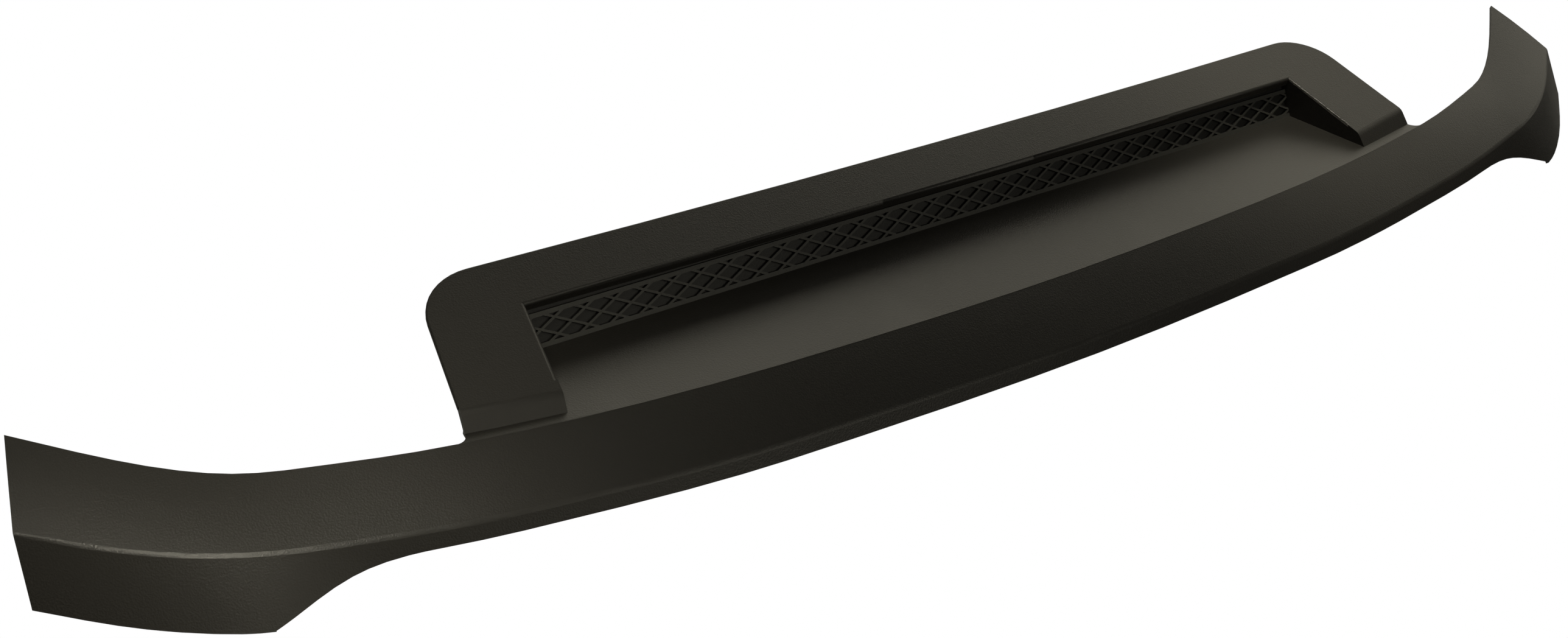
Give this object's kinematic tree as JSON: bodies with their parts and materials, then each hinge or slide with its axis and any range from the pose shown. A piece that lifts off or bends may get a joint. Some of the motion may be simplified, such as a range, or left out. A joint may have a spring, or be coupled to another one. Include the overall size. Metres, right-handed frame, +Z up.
{
  "type": "hood molding",
  "caption": "Wide textured plastic moulding for a pickup hood's leading edge, with swept wings and a slim scoop closed by a diamond grille",
  "frame": {"origin": "middle of the seat on the scoop plate's underside, which lies on the hood", "axes": "X across the vehicle, -Y to its front, +Z up from the level scoop plate"},
  "size_m": [1.405, 0.2205, 0.0524],
  "materials": {
    "grained_plastic": "fine-grained satin black",
    "grille_plastic": "matte black"
  },
  "bodies": {
    "root": {"hood_molding": "grained_plastic", "scoop_grille": "grille_plastic"}
  },
  "joints": []
}
